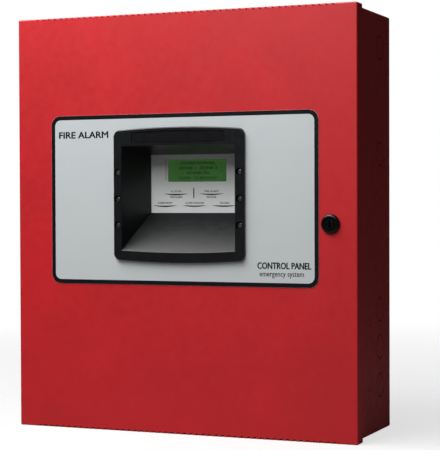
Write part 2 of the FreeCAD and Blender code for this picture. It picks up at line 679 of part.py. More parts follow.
def key_places():
    """Every key's node name, centre and width."""
    numbers = ("1", "2", "3"), ("4", "5", "6"), ("7", "8", "9"), ("star", "0", "hash")
    functions = "acknowledge", "silence", "drill", "reset"
    for z, row, function in zip(KEY_ROWS_Z, numbers, functions):
        for x, name in zip(NUMBER_KEYS_X, row):
            yield "key_" + name, x, z, NUMBER_KEY_W
        yield "key_" + function, FUNCTION_KEYS_X, z, FUNCTION_KEY_W


def fascia():
    """The silver front of the display and keypad: a plate with side walls back to the display board."""
    low, high = FASCIA_Z
    shell = block(-FASCIA_X, FASCIA_X, FASCIA_FRONT, DISPLAY_BOARD_FRONT, low, high)
    shell = shell.makeFillet(3.0, edges_along(shell, "y"))
    shell = shell.makeFillet(0.8, edges_on_plane(shell, "y", FASCIA_FRONT))
    wall, back = 1.8, FASCIA_FRONT + FASCIA_T
    shell = shell.cut(
        block(-FASCIA_X + wall, FASCIA_X - wall, back, DISPLAY_BOARD_FRONT + 1, low + wall, high - wall)
    )
    for x, z in FASCIA_SCREW_PLACES:
        shell = shell.fuse(rod(4.4, (x, back - 0.5, z), "y", DISPLAY_BOARD_FRONT - back + 0.5))
    left, right, lcd_low, lcd_high = LCD_WINDOW
    cuts = [rounded_block(left, right, FASCIA_FRONT - 1, back + 1, lcd_low, lcd_high, 1.0)]
    cuts += [lens_wedge(x, z, FASCIA_FRONT - 1, back + 1) for x, z in LENSES]
    cuts += [rod(SCREW_HOLE_R, (x, FASCIA_FRONT - 1, z), "y", 14) for x, z in FASCIA_SCREW_PLACES]
    gap = 0.3
    for _, x, z, width in key_places():
        reach_x, reach_z = width / 2 + gap, KEY_H / 2 + gap
        cuts.append(
            rounded_block(x - reach_x, x + reach_x, FASCIA_FRONT - 1, back + 1, z - reach_z, z + reach_z, 1.8)
        )
    return shell.cut(cuts).removeSplitter()


def display_board():
    low, high = FASCIA_Z
    front = DISPLAY_BOARD_FRONT
    board = block(-FASCIA_X, FASCIA_X, front, front + BOARD_T, low, high)
    return board.cut([rod(SCREW_HOLE_R, (x, front - 1, z), "y", 4) for x, z in FASCIA_SCREW_PLACES])


LCD_FRAME_FRONT = FASCIA_FRONT + FASCIA_T + 0.4


def lcd_frame():
    left, right, low, high = LCD_WINDOW
    frame = block(left - 9, right + 9, LCD_FRAME_FRONT, DISPLAY_BOARD_FRONT, low - 6, high + 6)
    frame = frame.makeFillet(0.6, edges_on_plane(frame, "y", LCD_FRAME_FRONT) + edges_along(frame, "y"))
    floor = LCD_FRAME_FRONT + 2.4
    return frame.cut(block(left - 1, right + 1, LCD_FRAME_FRONT - 1, floor, low - 1, high + 1))


def lcd_glass():
    left, right, low, high = LCD_WINDOW
    return block(left - 1, right + 1, LCD_FRAME_FRONT + 0.8, LCD_FRAME_FRONT + 2.4, low - 1, high + 1)


def indicator_lenses():
    return group([lens_wedge(x, z, FASCIA_FRONT - 0.25, FASCIA_FRONT + FASCIA_T) for x, z in LENSES])


def status_lamps():
    lamps = []
    for x, z in LENSES:
        base = rod(2.5, (x, DISPLAY_BOARD_FRONT - 5.4, z), "y", 5.4)
        lamps.append(base.makeFillet(1.6, edges_on_plane(base, "y", DISPLAY_BOARD_FRONT - 5.4)))
    return group(lamps)


SWITCH_TOP = DISPLAY_BOARD_FRONT - 4.6


def tact_switches():
    switches = []
    for _, x, z, _ in key_places():
        body = block(x - 3, x + 3, DISPLAY_BOARD_FRONT - 3.4, DISPLAY_BOARD_FRONT, z - 3, z + 3)
        plunger = rod(1.7, (x, SWITCH_TOP, z), "y", 1.3)
        switches.append(body.fuse(plunger).removeSplitter())
    return group(switches)


def key(x, z, width):
    """A key cap with a retaining flange behind the fascia and a stem that meets its switch."""
    dx, dz, front = width / 2, KEY_H / 2, FASCIA_FRONT - KEY_PROUD
    flange_y = FASCIA_FRONT + FASCIA_T + 0.3
    cap = block(x - dx, x + dx, front, flange_y, z - dz, z + dz)
    cap = cap.makeFillet(1.5, edges_along(cap, "y"))
    cap = cap.makeFillet(0.6, edges_on_plane(cap, "y", front))
    rim, rim_t = 1.0, 1.0
    flange = block(x - dx - rim, x + dx + rim, flange_y, flange_y + rim_t, z - dz - rim, z + dz + rim)
    stem_start, stem_end = flange_y + rim_t, SWITCH_TOP - KEY_TRAVEL - 0.2
    stem = rod(1.6, (x, stem_start, z), "y", stem_end - stem_start)
    return cap.fuse(flange).fuse(stem).removeSplitter()


# ---------------------------------------------------------------- mains transformer
def transformer_core():
    half_w, depth, half_h = CORE
    front = CORE_BACK - depth
    core = block(-half_w, half_w, front, CORE_BACK, TRANSFORMER_Z - half_h, TRANSFORMER_Z + half_h)
    for side in (-1, 1):
        x0, x1 = sorted((side * 11.5, side * 22.5))
        core = core.cut(block(x0, x1, front - 1, CORE_BACK + 1, TRANSFORMER_Z - 12.5, TRANSFORMER_Z + 12.5))
    return core


def transformer_windings():
    front = CORE_BACK - CORE[1]
    coil = rounded_block(-22, 22, front - 8, CORE_BACK + 8, TRANSFORMER_Z - 12, TRANSFORMER_Z + 12, 3.0, "z")
    leg = block(-11.5, 11.5, front - 1.2, CORE_BACK + 1.2, TRANSFORMER_Z - 13, TRANSFORMER_Z + 13)
    return coil.cut(leg).cut(transformer_core())


def transformer_bracket():
    """A channel over the core with a window for the windings and a foot each side."""
    half_w, front = CORE[0], CORE_BACK - CORE[1]
    z0, z1 = TRANSFORMER_Z - 15.0, TRANSFORMER_Z + 15.0
    cover = block(-half_w - BRACKET_T, half_w + BRACKET_T, front - BRACKET_T, PLATE_FRONT, z0, z1)
    cover = cover.cut(block(-half_w, half_w, front, PLATE_FRONT + 1, z0 - 1, z1 + 1))
    cover = cover.cut(block(-24, 24, front - 5, front + 1, TRANSFORMER_Z - 13.2, TRANSFORMER_Z + 13.2))
    for side in (-1, 1):
        x0, x1 = sorted((side * half_w, side * (half_w + 16)))
        cover = cover.fuse(block(x0, x1, PLATE_FRONT - BRACKET_T, PLATE_FRONT, z0 + 4, z1 - 4))
    holes = [rod(SCREW_HOLE_R, (x, PLATE_FRONT - 4, z), "y", 8) for x, z in TRANSFORMER_SCREW_PLACES]
    return cover.cut(holes).removeSplitter()


def transformer_leads():
    """Four leads from the front of the windings up to the board's header."""
    front = CORE_BACK - CORE[1] - 5.0
    back = BOARD_FRONT - 9.0
    leads = []
    for x in (-10.5, -3.5, 3.5, 10.5):
        points = [
            (x, front, TRANSFORMER_Z + 12.0),
            (x, front, TRANSFORMER_Z + 24.0),
            (x * 0.9, (front + back) / 2, TRANSFORMER_Z + 29.0),
            (x * 0.8, back, TRANSFORMER_Z + 29.5),
            (x * 0.8, back, HEADER_Z),
        ]
        leads.append(route(points, 1.0))
    return group(leads)


# ---------------------------------------------------------------- batteries and their wiring
TAB_X = (18.0, 145.0)
TAB_Y = BATTERY_BACK - BATTERY[1] + 8.0
LEAD_Z = BATTERY_TOP + 5.8
LEAD_Y = TAB_Y - 9.5     # front of the spade connectors, where the leads leave them


def battery(side):
    length, depth, height = BATTERY
    x0, x1 = sorted((side * BATTERY_GAP, side * (BATTERY_GAP + length)))
    y0, y1 = BATTERY_BACK - depth, BATTERY_BACK
    case = soft_block(x0, x1, y0, y1, BOX_FLOOR, BATTERY_TOP, 1.5)
    lid_line = BATTERY_TOP - 14
    band = block(x0 - 1, x1 + 1, y0 - 1, y1 + 1, lid_line, lid_line + 0.8)
    core = block(x0 + 0.6, x1 - 0.6, y0 + 0.6, y1 - 0.6, lid_line - 1, lid_line + 2)
    case = case.cut(band.cut(core))
    top_recess = soft_block(x0 + 28, x1 - 28, y0 + 12, y1 - 12, BATTERY_TOP - 0.8, BATTERY_TOP + 5, 0.7)
    return case.cut(top_recess)


def battery_terminals():
    tabs = []
    for side in (-1, 1):
        for x in TAB_X:
            cx = side * x
            tabs.append(block(cx - 3.15, cx + 3.15, TAB_Y - 0.4, TAB_Y + 0.4, BATTERY_TOP, BATTERY_TOP + 7.5))
    return group(tabs)


def spade_connectors():
    """Flag connectors pushed onto the four battery tabs, each lead leaving towards the front."""
    tabs = battery_terminals()
    made = []
    for side in (-1, 1):
        for x in TAB_X:
            cx = side * x
            low, high = BATTERY_TOP + 1.2, BATTERY_TOP + 10.4
            shell = soft_block(cx - 4.6, cx + 4.6, LEAD_Y, TAB_Y + 2.2, low, high, 1.2)
            made.append(shell.cut(tabs))
    return group(made)


def battery_lead(side):
    """From a battery's outer connector forwards, up, and back to the nearest field terminal block."""
    x = side * TAB_X[1]
    entry_x = side * (96.0 + 3.5 * BLOCK_PITCH)
    return route(
        [
            (x, LEAD_Y, LEAD_Z),
            (x, LEAD_Y - 13, LEAD_Z),
            (x - side * 3, LEAD_Y - 15, LEAD_Z + 20),
            (x - side * 16, LEAD_Y - 9, LEAD_Z + 36),
            (entry_x, BOARD_FRONT - 8, LEAD_Z + 50),
            (entry_x, BOARD_FRONT - 4.5, BOARD_Z[0] + 2.0),
        ],
        LEAD_R,
    )


def battery_jumper():
    x = TAB_X[0]
    return route(
        [
            (-x, LEAD_Y, LEAD_Z),
            (-x, LEAD_Y - 14, LEAD_Z),
            (-x * 0.35, LEAD_Y - 21, LEAD_Z + 1),
            (x * 0.35, LEAD_Y - 21, LEAD_Z + 1),
            (x, LEAD_Y - 14, LEAD_Z),
            (x, LEAD_Y, LEAD_Z),
        ],
        LEAD_R,
    )


def battery_bracket():
    """An angle welded to the box's floor that keeps the batteries from sliding forwards."""
    y0 = BATTERY_BACK - BATTERY[1] - 0.4
    upright = block(-RETAINER_X, RETAINER_X, y0 - BOX_SHEET, y0, BOX_FLOOR, BOX_FLOOR + RETAINER_H)
    foot = block(-RETAINER_X, RETAINER_X, y0 - RETAINER_FOOT, y0, BOX_FLOOR, BOX_FLOOR + BOX_SHEET)
    return upright.fuse(foot).removeSplitter()


# ---------------------------------------------------------------- every node
def build():
    parts = {}
    parts["backbox"] = backbox()
    parts["door_panel"] = door_panel()
    parts["door_overlay"] = overlay()
    parts["bezel"] = bezel()
    parts["bezel_screws"] = bezel_screws()
    parts["lock_housing"] = lock_housing()
    parts["lock_nut"] = lock_nut()
    parts["lock_plug"] = lock_plug()
    parts["lock_cam"] = lock_cam()
    parts["lock_cam_screw"] = lock_cam_screw()
    parts["hinge_box_leaves"] = hinge_box_leaves()
    parts["hinge_door_leaves"] = hinge_door_leaves()
    parts["hinge_pins"] = hinge_pins()
    parts["mounting_plate"] = mounting_plate()
    parts["plate_spacers"] = plate_spacers()
    parts["board_standoffs"] = board_standoffs()
    parts["machine_screws"] = machine_screws()
    parts["main_circuit_board"] = main_board()
    parts["terminal_blocks"] = terminal_blocks()
    parts["terminal_screws"] = terminal_screws()
    parts["relays"] = relays()
    parts["capacitors"] = capacitors()
    parts["heatsink"] = heatsink()
    parts["fuse_holders"] = fuse_holders()
    parts["fuses"] = fuses()
    parts["integrated_circuits"] = integrated_circuits()
    parts["piezo_sounder"] = piezo_sounder()
    parts["display_fascia"] = fascia()
    parts["display_board"] = display_board()
    parts["lcd_frame"] = lcd_frame()
    parts["lcd_glass"] = lcd_glass()
    parts["indicator_lenses"] = indicator_lenses()
    parts["status_lamps"] = status_lamps()
    parts["tact_switches"] = tact_switches()
    parts["transformer_core"] = transformer_core()
    parts["transformer_windings"] = transformer_windings()
    parts["transformer_bracket"] = transformer_bracket()
    parts["transformer_leads"] = transformer_leads()
    parts["battery_left"] = battery(-1)
    parts["battery_right"] = battery(1)
    parts["battery_terminals"] = battery_terminals()
    parts["spade_connectors"] = spade_connectors()
    parts["battery_leads"] = group([battery_lead(-1), battery_lead(1), battery_jumper()])
    parts["battery_bracket"] = battery_bracket()
    for name, x, z, width in key_places():
        parts[name] = key(x, z, width)
    return parts


os.makedirs("parts", exist_ok=True)
all_parts = build()
for name, shape in all_parts.items():
    solids = shape.Solids
    if not solids or not all(s.isValid() and s.isClosed() for s in solids):
        print("check", name, len(solids), [s.isValid() for s in solids])
    shape.exportStep(os.path.join("parts", name + ".step"))
print(len(all_parts), "nodes")
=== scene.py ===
import math
import random

import bmesh
import bpy
from mathutils import Matrix, Vector


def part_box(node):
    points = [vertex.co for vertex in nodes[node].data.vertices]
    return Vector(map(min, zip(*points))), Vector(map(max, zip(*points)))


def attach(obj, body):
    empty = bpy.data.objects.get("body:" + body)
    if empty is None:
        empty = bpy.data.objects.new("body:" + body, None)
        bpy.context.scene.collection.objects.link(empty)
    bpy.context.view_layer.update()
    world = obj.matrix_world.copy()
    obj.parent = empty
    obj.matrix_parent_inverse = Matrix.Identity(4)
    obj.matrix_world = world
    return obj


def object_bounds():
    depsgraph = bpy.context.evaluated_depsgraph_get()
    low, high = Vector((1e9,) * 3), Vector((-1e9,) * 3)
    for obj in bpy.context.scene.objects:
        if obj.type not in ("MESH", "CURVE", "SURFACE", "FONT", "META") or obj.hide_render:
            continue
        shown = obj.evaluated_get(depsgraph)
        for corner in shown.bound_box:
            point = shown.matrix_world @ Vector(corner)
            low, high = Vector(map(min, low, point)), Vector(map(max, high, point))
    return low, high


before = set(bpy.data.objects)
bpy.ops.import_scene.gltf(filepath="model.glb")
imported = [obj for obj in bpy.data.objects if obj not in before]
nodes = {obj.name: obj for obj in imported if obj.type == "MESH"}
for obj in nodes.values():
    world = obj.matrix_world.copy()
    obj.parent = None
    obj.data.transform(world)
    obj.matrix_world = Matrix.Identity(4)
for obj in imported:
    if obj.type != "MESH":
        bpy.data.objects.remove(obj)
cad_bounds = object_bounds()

# The looks of a wall-mounted fire alarm control panel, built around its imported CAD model.
scene = bpy.context.scene
MM = 0.001
INK = 0.04 * MM          # thickness of a printed layer
LABEL = 0.12 * MM        # thickness of a paper label


# ---------------------------------------------------------------- camera, floor and light
CAMERA_AT = Vector((0.717, -1.731, 0.0264))
CAMERA_YAW, CAMERA_PITCH, CAMERA_ROLL = 22.82, -1.15, -0.2
CAMERA_LENS, CAMERA_SHIFT = 121.2, (0.0082, 0.0133)


def make_camera():
    """The photo's viewpoint: to the right of the panel, at mid height, with a long lens."""
    data = bpy.data.cameras.new("camera")
    data.lens, data.sensor_width = CAMERA_LENS, 36
    data.shift_x, data.shift_y = CAMERA_SHIFT
    data.clip_start, data.clip_end = 0.05, 50
    camera = bpy.data.objects.new("camera", data)
    scene.collection.objects.link(camera)
    turn = Matrix.Rotation(math.radians(CAMERA_YAW), 4, "Z")
    tilt = Matrix.Rotation(math.radians(90 + CAMERA_PITCH), 4, "X")
    roll = Matrix.Rotation(math.radians(CAMERA_ROLL), 4, "Z")
    camera.matrix_world = Matrix.Translation(CAMERA_AT) @ turn @ tilt @ roll
    scene.camera = camera


def area_light(name, at, aim, size, power):
    """A white rectangular softbox that faces a point."""
    data = bpy.data.lights.new(name, "AREA")
    data.shape, data.size, data.size_y = "RECTANGLE", size[0], size[1]
    data.energy = power
    light = bpy.data.objects.new(name, data)
    scene.collection.objects.link(light)
    light.location = at
    light.rotation_euler = (Vector(aim) - Vector(at)).to_track_quat("-Z", "Y").to_euler()


def make_world():
    """White behind the object, and a dimmer even light from all round it."""
    world = bpy.data.worlds.new("studio")
    scene.world = world
    world.use_nodes = True
    tree = world.node_tree
    tree.nodes.clear()
    seen = tree.nodes.new("ShaderNodeBackground")
    seen.inputs["Color"].default_value = (1, 1, 1, 1)
    seen.inputs["Strength"].default_value = 1.0
    lit = tree.nodes.new("ShaderNodeBackground")
    lit.inputs["Color"].default_value = (1, 1, 1, 1)
    lit.inputs["Strength"].default_value = 0.03
    path = tree.nodes.new("ShaderNodeLightPath")
    mix = tree.nodes.new("ShaderNodeMixShader")
    out = tree.nodes.new("ShaderNodeOutputWorld")
    tree.links.new(path.outputs["Is Camera Ray"], mix.inputs["Fac"])
    tree.links.new(lit.outputs[0], mix.inputs[1])
    tree.links.new(seen.outputs[0], mix.inputs[2])
    tree.links.new(mix.outputs[0], out.inputs["Surface"])


def make_lights():
    """Softboxes over and in front of the door, and a weak one on the right side."""
    middle = (0, cad_bounds[0].y, 0.05)
    area_light("sheen_softbox", (-0.40, -0.75, 0.90), middle, (1.4, 0.35), 12.5)
    area_light("overhead_softbox", (-0.45, -0.55, 1.40), middle, (1.2, 0.7), 18)
    area_light("front_fill", (-0.1, -2.3, 1.3), middle, (1.2, 0.5), 11)
    area_light("right_fill", (1.9, -0.5, 0.1), middle, (0.8, 0.8), 0.5)


# ---------------------------------------------------------------- materials
class Surface:
    """A Principled material built up node by node, in the row's own coordinates."""

    def __init__(self, name, **fixed):
        self.material = bpy.data.materials.new(name)
        self.material.use_nodes = True
        self.tree = self.material.node_tree
        self.shader = self.tree.nodes["Principled BSDF"]
        self.place = self.tree.nodes.new("ShaderNodeTexCoord").outputs["Object"]
        for socket, value in fixed.items():
            self.shader.inputs[socket.replace("_", " ")].default_value = value

    def add(self, kind, settings=(), **inputs):
        node = self.tree.nodes.new("ShaderNode" + kind)
        for key, value in dict(settings).items():
            setattr(node, key, value)
        for key, value in inputs.items():
            self.feed(node.inputs[key.replace("_", " ")], value)
        return node

    def feed(self, socket, value):
        if isinstance(value, bpy.types.NodeSocket):
            self.tree.links.new(value, socket)
        else:
            socket.default_value = value

    def maths(self, operation, a, b=0.0):
        node = self.add("Math", {"operation": operation})
        self.feed(node.inputs[0], a)
        self.feed(node.inputs[1], b)
        return node.outputs[0]

    def axis(self, letter):
        return self.add("SeparateXYZ", Vector=self.place).outputs[letter]

    def stretched(self, stretch):
        return self.add("Mapping", Vector=self.place, Scale=stretch).outputs[0]

    def noise(self, grain_mm, detail=3.0, stretch=None):
        """Cloudy noise whose lumps are about this many millimetres across."""
        where = self.stretched(stretch) if stretch else self.place
        return self.add("TexNoise", Vector=where, Scale=1 / (grain_mm * MM), Detail=detail).outputs["Fac"]

    def cells(self, grain_mm, feature="F1"):
        settings = {"feature": feature}
        return self.add("TexVoronoi", settings, Vector=self.place, Scale=1 / (grain_mm * MM)).outputs[0]

    def ramp(self, value, *stops, sharp=False):
        """Colours at places from 0 to 1."""
        node = self.add("ValToRGB", Fac=value)
        ramp = node.color_ramp
        ramp.interpolation = "CONSTANT" if sharp else "LINEAR"
        while len(ramp.elements) < len(stops):
            ramp.elements.new(1.0)
        for element, (place, colour) in zip(ramp.elements, stops):
            element.position = place
            element.color = (*colour, 1)
        return node.outputs["Color"]

    def spread(self, value, low, high, start=0.3, end=0.7):
        """The value's range from start to end, spread from low to high."""
        names = {"Value": value, "From Min": start, "From Max": end, "To Min": low, "To Max": high}
        node = self.add("MapRange", {"clamp": True})
        for key, item in names.items():
            self.feed(node.inputs[key], item)
        return node.outputs[0]

    def blend(self, share, one, two):
        """Colour one where share is 0 and colour two where it is 1."""
        node = self.add("Mix", {"data_type": "RGBA"})
        self.feed(node.inputs["Factor"], share)
        for socket, colour in ((node.inputs[6], one), (node.inputs[7], two)):
            self.feed(socket, colour if isinstance(colour, bpy.types.NodeSocket) else (*colour, 1))
        return node.outputs[2]

    def colour(self, value):
        self.feed(self.shader.inputs["Base Color"], value)
        return self

    def rough(self, value):
        self.feed(self.shader.inputs["Roughness"], value)
        return self

    def bump(self, height, depth_mm, strength=1.0):
        node = self.add("Bump", Height=height, Distance=depth_mm * MM, Strength=strength)
        self.feed(self.shader.inputs["Normal"], node.outputs[0])
        return self


def shade(colour, by):
    """The colour made lighter or darker by a factor."""
    return tuple(c * by for c in colour)


def powder_coat(name, colour):
    """Semi-gloss powder coat: fine orange peel, slightly uneven colour and gloss."""
    s = Surface(name, Specular_IOR_Level=0.55)
    s.colour(s.ramp(s.noise(70, 4), (0.3, shade(colour, 0.93)), (0.7, shade(colour, 1.05))))
    s.rough(s.spread(s.noise(9, 4), 0.46, 0.56))
    return s.bump(s.noise(1.4, 2), 0.012, 0.6).material


def moulded(name, colour, gloss=(0.42, 0.56), grain_mm=0.5, depth_mm=0.01, **fixed):
    """Moulded plastic: a fine spark-eroded grain, with faint cloudiness."""
    s = Surface(name, **fixed)
    s.colour(s.ramp(s.noise(14, 4), (0.3, shade(colour, 0.86)), (0.7, shade(colour, 1.12))))
    s.rough(s.spread(s.noise(5, 3), *gloss))
    return s.bump(s.noise(grain_mm, 2), depth_mm, 0.5).material


def plated(name, colour, warm, gloss=(0.26, 0.42), stretch=None):
    """Plated or bare metal, with faint stains and drawing lines along one direction."""
    s = Surface(name, Metallic=1.0)
    s.colour(s.ramp(s.noise(6, 4), (0.3, colour), (0.7, warm)))
    s.rough(s.spread(s.noise(3, 5, stretch), *gloss))
    return s.bump(s.noise(0.5, 3, stretch), 0.004, 0.5).material


def printed_film(name, colour, gloss=(0.38, 0.48), **fixed):
    """Satin silver film: fine metallic speckle over an even tone."""
    s = Surface(name, **fixed)
    speckle = s.cells(0.35)
    fine = s.ramp(speckle, (0.0, shade(colour, 1.05)), (0.8, shade(colour, 0.95)))
    s.colour(s.blend(s.spread(s.noise(60, 3), 0.0, 0.35), fine, shade(colour, 0.97)))
    s.rough(s.spread(s.noise(20, 4), *gloss))
    return s.bump(s.noise(0.3, 2), 0.003, 0.4).material


def circuit_board(name):
    """Green solder mask over copper tracks that run up, across and round plated holes."""
    s = Surface(name, Coat_Weight=0.4, Coat_Roughness=0.2)
    across = s.add("TexBrick", {"offset": 0.37, "squash": 1.4, "squash_frequency": 3},
                   Vector=s.add("Mapping", Vector=s.place, Rotation=(math.pi / 2, 0, 0)).outputs[0],
                   Scale=1.0, Mortar_Size=0.00035, Mortar_Smooth=0.1, Brick_Width=0.019, Row_Height=0.0021)
    upright = s.add("TexBrick", {"offset": 0.61, "squash": 1.2, "squash_frequency": 2},
                    Vector=s.add("Mapping", Vector=s.place, Rotation=(math.pi / 2, 0, math.pi / 2)).outputs[0],
                    Scale=1.0, Mortar_Size=0.0003, Mortar_Smooth=0.1, Brick_Width=0.027, Row_Height=0.0026)
    region = s.spread(s.noise(16, 1), 0.0, 1.0, 0.49, 0.51)
    tracks = s.add("Mix", {"data_type": "FLOAT"}, Factor=region)
    s.feed(tracks.inputs[2], across.outputs["Fac"])
    s.feed(tracks.inputs[3], upright.outputs["Fac"])
    tracks = tracks.outputs[0]
    mask = s.ramp(s.noise(30, 3), (0.3, (0.006, 0.075, 0.030)), (0.7, (0.009, 0.095, 0.038)))
    copper = s.blend(tracks, mask, (0.020, 0.165, 0.060))
    holes = s.maths("LESS_THAN", s.cells(4.6), 0.085)
    s.colour(s.blend(holes, copper, (0.62, 0.55, 0.36)))
    s.rough(s.spread(s.noise(8, 3), 0.30, 0.42))
    return s.bump(s.maths("ADD", tracks, holes), 0.05, 0.8).material


def laminations(name):
    """Varnished steel laminations: fine sheets stacked along Y."""
    s = Surface(name, Metallic=0.75)
    sheets = s.maths("PINGPONG", s.axis("Y"), 0.5 * MM)
    lines = s.spread(sheets, 0.0, 1.0, 0.0, 0.18 * MM)
    s.colour(s.blend(lines, (0.02, 0.018, 0.016), (0.17, 0.165, 0.16)))
    s.rough(s.spread(s.noise(4, 4), 0.40, 0.60))
    return s.bump(lines, 0.08, 0.8).material


def wound_tape(name):
    """Amber polyester tape wound round the transformer's coil, in overlapping turns."""
    s = Surface(name, Coat_Weight=0.5, Coat_Roughness=0.15)
    turns = s.maths("PINGPONG", s.axis("Z"), 4 * MM)
    edge = s.spread(turns, 0.0, 1.0, 0.0, 0.35 * MM)
    amber = s.ramp(s.noise(7, 4), (0.3, (0.62, 0.36, 0.035)), (0.7, (0.74, 0.47, 0.06)))
    s.colour(s.blend(edge, (0.36, 0.19, 0.02), amber))
    s.rough(s.spread(s.noise(3, 3), 0.25, 0.38))
    return s.bump(edge, 0.12, 0.7).material


def striped(name, across, *colours, gloss=(0.3, 0.42)):
    """Insulation whose colour changes from piece to piece across the object."""
    s = Surface(name)
    low, high = across
    share = s.spread(s.axis("X"), 0.0, 1.0, low * MM, high * MM)
    stops = [(k / len(colours), colour) for k, colour in enumerate(colours)]
    tone = s.ramp(share, *stops, sharp=True)
    s.colour(s.blend(s.spread(s.noise(2, 3), 0.0, 0.12), tone, (0, 0, 0)))
    s.rough(s.spread(s.noise(1.5, 3), *gloss))
    return s.bump(s.noise(0.8, 3), 0.01, 0.4).material


def display_glass(name, centre_z, glow=0.55):
    """A green display window: faint character cells in rows, behind a clear front."""
    s = Surface(name, Coat_Weight=1.0, Coat_Roughness=0.06, Emission_Strength=glow)
    across = s.maths("PINGPONG", s.axis("X"), 1.75 * MM)
    up = s.maths("PINGPONG", s.maths("SUBTRACT", s.axis("Z"), centre_z), 2.95 * MM)
    gap_x = s.spread(across, 0.0, 1.0, 0.15 * MM, 0.30 * MM)
    gap_z = s.spread(up, 0.0, 1.0, 0.20 * MM, 0.40 * MM)
    cell = s.maths("MULTIPLY", gap_x, gap_z)
    green = s.ramp(s.noise(30, 2), (0.3, (0.034, 0.112, 0.024)), (0.7, (0.042, 0.132, 0.030)))
    lit = s.blend(s.spread(cell, 0.0, 0.16, 0.0, 1.0), green, (0.014, 0.045, 0.010))
    s.colour(lit)
    s.feed(s.shader.inputs["Emission Color"], lit)
    s.rough(s.spread(s.noise(12, 2), 0.22, 0.30))
    return s.material


def clear_glass(name):
    """Clear glass with a faint smear."""
    s = Surface(name, Transmission_Weight=0.85, IOR=1.45)
    s.colour(s.ramp(s.noise(3, 3), (0.3, (0.86, 0.90, 0.90)), (0.7, (0.95, 0.97, 0.97))))
    s.rough(s.spread(s.noise(2, 3), 0.03, 0.08))
    return s.material


def studio_floor(name, reach=1.5):
    """A pale matt floor that fades away with distance from the object."""
    s = Surface(name)
    s.colour(s.ramp(s.noise(40, 3), (0.3, (0.86, 0.86, 0.86)), (0.7, (0.88, 0.88, 0.88))))
    s.rough(s.spread(s.noise(10, 3), 0.7, 0.8))
    away = s.add("VectorMath", {"operation": "LENGTH"}, Vector=s.place).outputs["Value"]
    s.feed(s.shader.inputs["Alpha"], s.spread(away, 0.30, 0.0, 0.3, reach))
    return s.material


RED_DOOR = powder_coat("red_door_paint", (0.560, 0.006, 0.011))
RED_BOX = powder_coat("red_box_paint", (0.520, 0.013, 0.018))
FILM = printed_film("overlay_film", (0.62, 0.66, 0.67), Metallic=0.1)
# The fascia's satin silver is painted much paler than the door's film: painted light that makes up for the
# little light reaching it down the bezel's tunnel.
FASCIA_FILM_PAINTED_LIGHT = printed_film("fascia_film_painted_light", (0.84, 0.86, 0.86))
BLACK_INK = moulded("black_ink", (0.004, 0.005, 0.006), (0.35, 0.45), 0.4, 0.003, Specular_IOR_Level=0.25)
BEZEL_PLASTIC = moulded(
    "bezel_plastic", (0.0045, 0.0052, 0.0060), (0.30, 0.38), 0.45, 0.008, Specular_IOR_Level=0.45
)
# Gloss black for the strip of painted shade in the bezel's top recess.
RECESS_SHADE_BLACK = moulded("recess_shade_gloss_black", (0.010, 0.010, 0.011), (0.08, 0.14), 1.0, 0.002, Specular_IOR_Level=0.35)
LOCK_PLASTIC = moulded("lock_plastic", (0.004, 0.004, 0.005), (0.14, 0.22), 0.8, 0.003, Specular_IOR_Level=0.3)
KEY_PLASTIC = moulded("key_plastic", (0.115, 0.120, 0.125), (0.40, 0.52), 0.5, 0.010)
CHIP_PLASTIC = moulded("chip_plastic", (0.018, 0.018, 0.020), (0.45, 0.60), 0.3, 0.010)
BATTERY_PLASTIC = moulded("battery_plastic", (0.022, 0.022, 0.025), (0.45, 0.60), 1.0, 0.030)
TERMINAL_PLASTIC = moulded("terminal_plastic", (0.018, 0.160, 0.075), (0.35, 0.48), 0.6, 0.010)
RELAY_PLASTIC = moulded("relay_plastic", (0.60, 0.58, 0.50), (0.25, 0.36), 0.7, 0.006)
SLEEVE_PLASTIC = moulded("capacitor_sleeve", (0.012, 0.018, 0.075), (0.18, 0.30), 1.0, 0.006)
# The crescent windows are tinted dark grey: painted shade for the shadowed lower rim of each raised window.
CRESCENT_SHADE_PLASTIC = moulded("crescent_lens_painted_shade", (0.050, 0.050, 0.050), (0.16, 0.24), 0.8, 0.003)
LAMP_PLASTIC = moulded("lamp_plastic", (0.52, 0.30, 0.07), (0.12, 0.22), 0.6, 0.003, Transmission_Weight=0.3)
FRAME_PAINT = moulded("black_frame_paint", (0.010, 0.010, 0.011), (0.35, 0.50), 0.7, 0.010)
PAPER = moulded("paper_label", (0.72, 0.72, 0.70), (0.55, 0.70), 0.3, 0.004)
WHITE_INK = moulded("white_ink", (0.74, 0.75, 0.75), (0.50, 0.62), 0.4, 0.003)
GREEN_INK = moulded("green_ink", (0.030, 0.230, 0.085), (0.45, 0.55), 0.4, 0.003)
DISPLAY_INK = moulded("display_ink", (0.014, 0.050, 0.018), (0.30, 0.40), 0.4, 0.002)
CERAMIC = moulded("ceramic_chip", (0.42, 0.30, 0.17), (0.40, 0.55), 0.3, 0.004)
RIBBON = moulded("ribbon_cable", (0.36, 0.37, 0.38), (0.45, 0.58), 0.6, 0.010)
ZINC = plated("zinc_plate", (0.60, 0.59, 0.55), (0.70, 0.66, 0.56), (0.28, 0.46))
PANEL_ZINC = plated("panel_zinc", (0.52, 0.53, 0.54), (0.62, 0.62, 0.60), (0.34, 0.50), (1, 1, 14))
SCREW_STEEL = plated("screw_steel", (0.36, 0.36, 0.36), (0.44, 0.43, 0.42), (0.22, 0.34))
NICKEL = plated("nickel", (0.42, 0.40, 0.37), (0.52, 0.50, 0.46), (0.20, 0.34))
LOCK_STEEL = plated("blackened_lock_plug", (0.030, 0.030, 0.031), (0.050, 0.048, 0.046), (0.22, 0.36))
BRASS = plated("brass", (0.63, 0.42, 0.16), (0.72, 0.52, 0.22), (0.26, 0.40))
SOLDER = plated("solder", (0.66, 0.66, 0.67), (0.74, 0.74, 0.73), (0.22, 0.36))
ANODISED = plated("black_anodised", (0.035, 0.035, 0.038), (0.055, 0.055, 0.058), (0.38, 0.52), (1, 1, 10))
BOARD = circuit_board("circuit_board")
